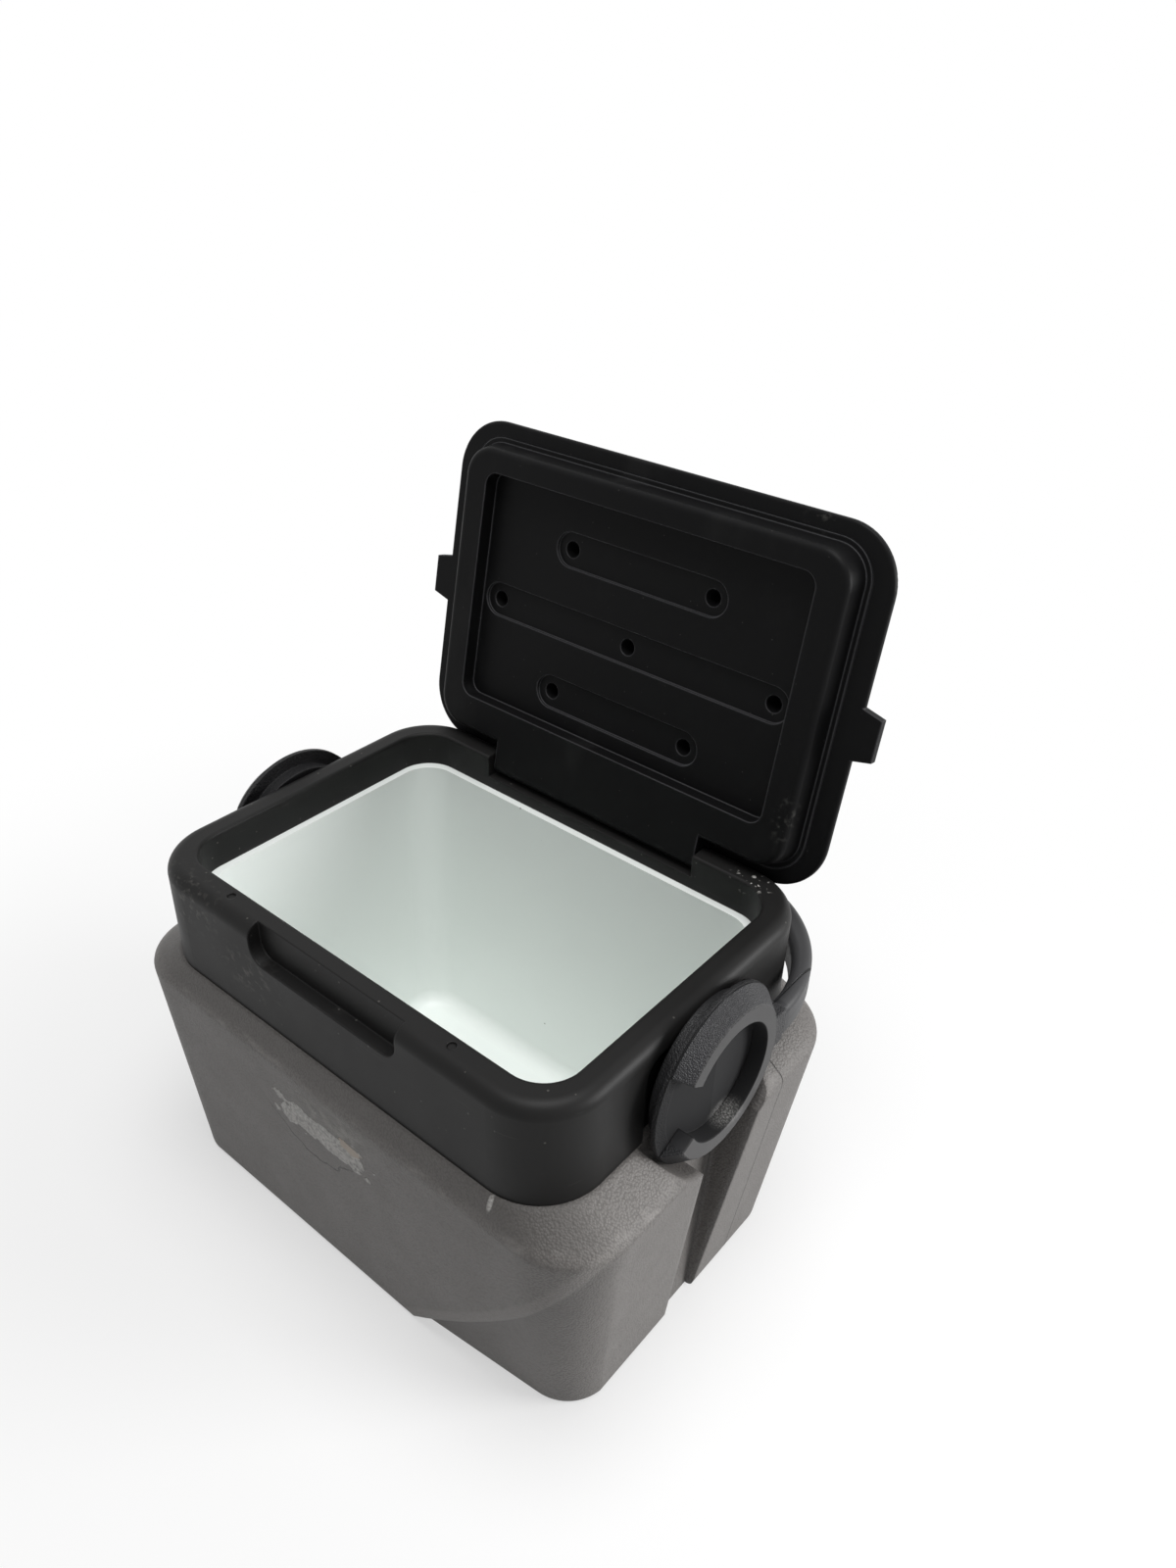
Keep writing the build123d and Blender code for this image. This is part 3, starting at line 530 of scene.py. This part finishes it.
def tub_plastic():
    """Grey pebbled plastic, used for years."""
    material, tree, shader = start_material("grey_pebbled_plastic_look")
    pebble = cells(tree, PEBBLES_PER_METRE)
    colour = wear_and_shade_tub(tree, pebbled_grey(tree, pebble))
    colour, raised = lay_label(tree, colour)
    dark = either(tree, tub_parting(tree), crack(tree))
    colour = blend(tree, faint(tree, dark, 0.85), colour, DARK_LINE)
    plug(tree, shader.inputs["Base Color"], colour)
    plug(tree, shader.inputs["Roughness"], level(tree, noise(tree, 40.0), 0.46, 0.6))
    shader.inputs["Specular IOR Level"].default_value = 0.4
    rounded = soft_edges(tree, level(tree, in_funnel(tree), TUB_EDGE, FUNNEL_EDGE))
    grain = relief(tree, calc(tree, "SUBTRACT", 1.0, pebble), PEBBLE_DEPTH, rounded)
    lifted = relief(tree, raised, LABEL_DEPTH, grain)
    cut = relief(tree, calc(tree, "SUBTRACT", 1.0, dark), LINE_DEPTH, lifted)
    plug(tree, shader.inputs["Normal"], cut)
    return material


def dress(material, *names):
    """Give a finish to the mouldings that are made of it."""
    for name in names:
        nodes[name].data.materials.clear()
        nodes[name].data.materials.append(material)
    print(material.name, "on", names)


dress(tub_plastic(), "base_shell", "foam_plug")

# %% [markdown]
# ## Black satin collar
# Collar, plugs, pins and clips come from one black plastic with a fine tool grain.
# One gloss value would make it look wet or dead, so a grain far finer than the tub's breaks the reflections.
# Dust sits in the grain at the front left, and the rear rim has a few pale nicks.

# %% Collar plastic
COLLAR_BLACKS = (0.0085, 0.0083, 0.0082), (0.0125, 0.0122, 0.012)
COLLAR_SCRATCH = (0.05, 0.049, 0.047)
COLLAR_DUST = (0.13, 0.125, 0.115)
COLLAR_DUST_PLACES = [((-0.066, -0.123, 0.233), (0.045, 0.02, 0.022)),
                      ((-0.125, -0.121, 0.258), (0.05, 0.02, 0.03))]
PALE_NICK = (0.45, 0.44, 0.42)
NICKS_CENTRE, NICKS_REACH = (0.131, 0.108, 0.27), (0.02, 0.012, 0.012)
SATIN_EDGE = 0.0015
SATIN_DEPTH = 0.00005


def satin_grain(tree, depth):
    """Fine grain of the tool over softened edges."""
    return relief(tree, noise(tree, 2200.0, detail=2.0), depth, soft_edges(tree, SATIN_EDGE))


def dust_on(tree, places):
    """Dust caught in the grain around some places, each with its reach."""
    dusty = either(tree, *[spot(tree, centre, reach, soft=0.9) for centre, reach in places])
    return both(tree, dusty, ramp(tree, noise(tree, 240.0, detail=6.0), 0.5, 0.72))


def black_plastic():
    """Black satin plastic with dust, scratches and nicks."""
    material, tree, shader = start_material("black_plastic_look")
    colour = blend(tree, noise(tree, 11.0), *COLLAR_BLACKS)
    scratches = ramp(tree, noise(tree, 60.0, detail=4.0, stretch=(0.25, 1.0, 6.0)), 0.66, 0.74)
    colour = blend(tree, faint(tree, scratches, 0.25), colour, COLLAR_SCRATCH)
    dust = either(tree, dust_on(tree, COLLAR_DUST_PLACES), specks(tree, 95.0, 0.075, 0.04))
    colour = blend(tree, faint(tree, dust, 0.55), colour, COLLAR_DUST)
    nicks = both(tree, spot(tree, NICKS_CENTRE, NICKS_REACH, soft=0.8),
                 ramp(tree, noise(tree, 300.0, detail=4.0), 0.6, 0.66))
    plug(tree, shader.inputs["Base Color"], blend(tree, nicks, colour, PALE_NICK))
    plug(tree, shader.inputs["Roughness"], level(tree, noise(tree, 30.0), 0.40, 0.52))
    shader.inputs["Specular IOR Level"].default_value = 0.15
    plug(tree, shader.inputs["Normal"], satin_grain(tree, SATIN_DEPTH))
    return material


dress(black_plastic(), "collar", "rim_plugs", "hinge_pin_left", "hinge_pin_right",
      "hub_clip_left", "hub_clip_right")

# %% [markdown]
# ## Black lid
# The lid is the deepest black: the light comes from above and behind it, so its underside sees little of it.
# More gloss would show its edges, but it also mirrors the white backdrop and greys the whole lid.
# So the gloss stays low, and the edges of the grooves, pits and rim get a painted highlight instead.
# A few dust specks and wiped smears keep it from looking drawn.

# %% Lid plastic
LID_BLACKS = (0.0045, 0.0045, 0.0048), (0.0070, 0.0070, 0.0073)
LID_SMEAR = (0.03, 0.03, 0.03)
# Painted highlight on the lid's edges, and how far it reaches.
LID_EDGE_HIGHLIGHT = (0.085, 0.085, 0.090)
LID_EDGE_HIGHLIGHT_REACH = 0.0022
LID_DUST = (0.12, 0.118, 0.11)
LID_DUST_PLACES = [((0.140, 0.117, 0.314), (0.010, 0.018, 0.022)),
                   ((0.1115, 0.166, 0.479), (0.014, 0.015, 0.009))]
LID_GRAIN_DEPTH = 0.00006


def lid_plastic():
    """Deep black plastic with a painted highlight on its edges, smears and dust."""
    material, tree, shader = start_material("black_lid_plastic_look")
    colour = blend(tree, noise(tree, 8.0), *LID_BLACKS)
    smears = ramp(tree, noise(tree, 26.0, detail=5.0, stretch=(1.0, 1.0, 0.35)), 0.55, 0.8)
    colour = blend(tree, faint(tree, smears, 0.3), colour, LID_SMEAR)
    # Painted highlight on the edges of the grooves, pits and rim.
    colour = blend(tree, faint(tree, sharp_edge_mask(tree, LID_EDGE_HIGHLIGHT_REACH), 0.8), colour, LID_EDGE_HIGHLIGHT)
    dust = either(tree, specks(tree, 120.0, 0.05, 0.025), dust_on(tree, LID_DUST_PLACES))
    plug(tree, shader.inputs["Base Color"], blend(tree, faint(tree, dust, 0.5), colour, LID_DUST))
    plug(tree, shader.inputs["Roughness"], level(tree, smears, 0.42, 0.55))
    shader.inputs["Specular IOR Level"].default_value = 0.07
    plug(tree, shader.inputs["Normal"], satin_grain(tree, LID_GRAIN_DEPTH))
    return material


dress(lid_plastic(), "lid_cover", "lid_inner_panel")

# %% [markdown]
# ## Charcoal handle
# Bail and hubs are a slightly greyer plastic. The outer band of each hub is pebbled like the tub, the bail is
# smooth and shows the parting line of its mould, and the hub's face gets a painted highlight, lighter grey
# where the light from the right falls on it.
# The hubs are painted darker than the bail as shade, and the hub's inside and the rim behind its plate get
# painted shade.
# The hub's floor is a flat roof with an upright ridge, and its ring is scuffed at the foot. Each piece could
# have a finish of its own.
# One serves all three here, because the distance from the turning axis tells hub and bail apart.

# %% Places on the handle
PIVOT_Y = 0.002
PIVOT_Z = 0.2235
HUB_FACE_RADIUS = 0.0464
HUB_BORE_RADIUS = 0.0364
HUB_PLATE_RADIUS = 0.0555
BAIL_RADIUS = 0.062
HUB_FLOOR = 0.1802
HUB_FACE = 0.1905
THIN = 0.0006
SCUFF_CENTRE, SCUFF_REACH = (0.185, 0.011, 0.1885), (0.010, 0.016, 0.008)


def from_pivot(tree):
    """Distance from the handle's turning axis."""
    return from_axis(tree, from_place(tree, "Y", PIVOT_Y), from_place(tree, "Z", PIVOT_Z))


def hub_scuffs(tree):
    """Pale smear at the foot of the right hub's ring."""
    scratched = ramp(tree, noise(tree, 1100.0, detail=6.0), 0.42, 0.66)
    return both(tree, spot(tree, SCUFF_CENTRE, SCUFF_REACH, soft=0.9), level(tree, scratched, 0.2, 1.0))


print("handle turns at", (PIVOT_Y, PIVOT_Z))

# %% Handle colours
# The hubs' charcoal is painted darker than the bail's, as shade.
HUB_SHADED_CHARCOALS = (0.021, 0.021, 0.0225), (0.028, 0.028, 0.030)
BAIL_CHARCOALS = (0.033, 0.033, 0.0345), (0.043, 0.043, 0.045)
# Painted highlight on the hub's face.
HUB_FACE_HIGHLIGHT = (0.050, 0.049, 0.049)
# Painted shade inside the hub and behind its plate.
HUB_SHADE = (0.008, 0.008, 0.0085)
HANDLE_DUST = (0.14, 0.135, 0.13)
SCUFF_PALE = (0.33, 0.325, 0.315)
BAIL_PARTING = (0.008, 0.008, 0.008)


def handle_colour(tree, radius, outward, on_bail, inside):
    """Charcoal with painted light: the hubs darker than the bail as shade, a painted highlight on the hub's
    face, and painted shade in the hub and behind its plate.
    """
    # Painted shade: the hubs darker than the bail.
    darker, lighter = [blend(tree, on_bail, hub, bail) for hub, bail in zip(HUB_SHADED_CHARCOALS, BAIL_CHARCOALS)]
    colour = blend(tree, noise(tree, 16.0), darker, lighter)
    # Painted highlight on the hub's face.
    on_face = ramp(tree, outward, HUB_FACE - 0.001, HUB_FACE - 0.0005)
    colour = blend(tree, faint(tree, on_face, 0.6), colour, HUB_FACE_HIGHLIGHT)
    # Painted shade inside the hub and behind its plate.
    plate_rim = both(tree, ramp(tree, outward, HUB_FLOOR + 0.0002, HUB_FLOOR - 0.0002),
                     ramp(tree, radius, HUB_PLATE_RADIUS + 0.001, HUB_PLATE_RADIUS))
    shade = either(tree, faint(tree, inside, 0.8), faint(tree, plate_rim, 0.7))
    colour = blend(tree, shade, colour, HUB_SHADE)
    colour = blend(tree, faint(tree, specks(tree, 110.0, 0.05, 0.025), 0.4), colour, HANDLE_DUST)
    colour = blend(tree, hub_scuffs(tree), colour, SCUFF_PALE)
    parting = both(tree, on_bail, line(tree, part_of_place(tree, "Z"), PIVOT_Z, THIN))
    return blend(tree, faint(tree, parting, 0.8), colour, BAIL_PARTING)


print("handle greys:", HUB_SHADED_CHARCOALS, BAIL_CHARCOALS)

# %% Handle plastic
HUB_PEBBLES_PER_METRE = 1100.0
HUB_PEBBLE_DEPTH = 0.0005
FLOOR_SLOPE = 0.15
INSIDE_ROUGHNESS = 0.75


def hub_pebbles(tree, radius):
    """Pebbles on the outer band of a hub, 0 on its face and on the bail."""
    outer_band = ramp(tree, radius, HUB_FACE_RADIUS - 0.001, HUB_FACE_RADIUS)
    inside_bail = ramp(tree, radius, BAIL_RADIUS - 0.002, BAIL_RADIUS - 0.004)
    pebble = calc(tree, "SUBTRACT", 1.0, cells(tree, HUB_PEBBLES_PER_METRE))
    return both(tree, pebble, both(tree, outer_band, inside_bail))


def handle_plastic():
    """Charcoal plastic of the bail and the hubs."""
    material, tree, shader = start_material("charcoal_plastic_look")
    radius = from_pivot(tree)
    outward = calc(tree, "ABSOLUTE", part_of_place(tree, "X"))
    in_bore = ramp(tree, radius, HUB_BORE_RADIUS + 0.0006, HUB_BORE_RADIUS + 0.0002)
    on_floor = line(tree, outward, HUB_FLOOR, THIN)
    inside = either(tree, in_bore, on_floor)
    on_bail = ramp(tree, radius, BAIL_RADIUS, BAIL_RADIUS + 0.002)
    plug(tree, shader.inputs["Base Color"], handle_colour(tree, radius, outward, on_bail, inside))
    handled = level(tree, noise(tree, 35.0), 0.38, 0.5)
    plug(tree, shader.inputs["Roughness"], either(tree, handled, faint(tree, inside, INSIDE_ROUGHNESS)))
    shader.inputs["Specular IOR Level"].default_value = 0.22
    pebbled = relief(tree, hub_pebbles(tree, radius), HUB_PEBBLE_DEPTH, satin_grain(tree, SATIN_DEPTH))
    ridge = calc(tree, "MULTIPLY", both(tree, beside_place(tree, "Y", PIVOT_Y), on_floor), -FLOOR_SLOPE)
    plug(tree, shader.inputs["Normal"], relief(tree, ridge, 1.0, pebbled))
    return material


dress(handle_plastic(), "handle_bail", "hub_left", "hub_right")

# %% [markdown]
# ## White liner and foam
# The liner is a smooth white plastic with a faint green cast and a few specks. A darker white would be easy
# to light, but it would look grey, so the colour stays and the lamps are kept low enough for its walls.
# The foam is never seen from outside, so a plain cell pattern is enough.

# %% Liner plastic
LINER_WHITES = (0.885, 0.925, 0.90), (0.91, 0.945, 0.92)
LINER_SPECK = (0.20, 0.19, 0.17)
LINER_WAVE_DEPTH = 0.00008


def liner_plastic():
    """Smooth white plastic with a few dark specks."""
    material, tree, shader = start_material("white_liner_plastic_look")
    colour = blend(tree, noise(tree, 6.0), *LINER_WHITES)
    dirt = both(tree, specks(tree, 42.0, 0.035, 0.02), ramp(tree, noise(tree, 9.0), 0.5, 0.6))
    plug(tree, shader.inputs["Base Color"], blend(tree, faint(tree, dirt, 0.7), colour, LINER_SPECK))
    plug(tree, shader.inputs["Roughness"], level(tree, noise(tree, 14.0), 0.34, 0.46))
    plug(tree, shader.inputs["Normal"], relief(tree, noise(tree, 60.0), LINER_WAVE_DEPTH))
    return material


dress(liner_plastic(), "liner")

# %% Foam
FOAM_CELLS_PER_METRE = 900.0
FOAM_YELLOWS = (0.85, 0.78, 0.55), (0.72, 0.63, 0.42)


def foam_look():
    """Yellow insulation foam."""
    material, tree, shader = start_material("insulation_foam_look")
    plug(tree, shader.inputs["Base Color"], blend(tree, cells(tree, FOAM_CELLS_PER_METRE), *FOAM_YELLOWS))
    shader.inputs["Roughness"].default_value = 0.9
    return material


dress(foam_look(), "body_foam", "lid_foam")
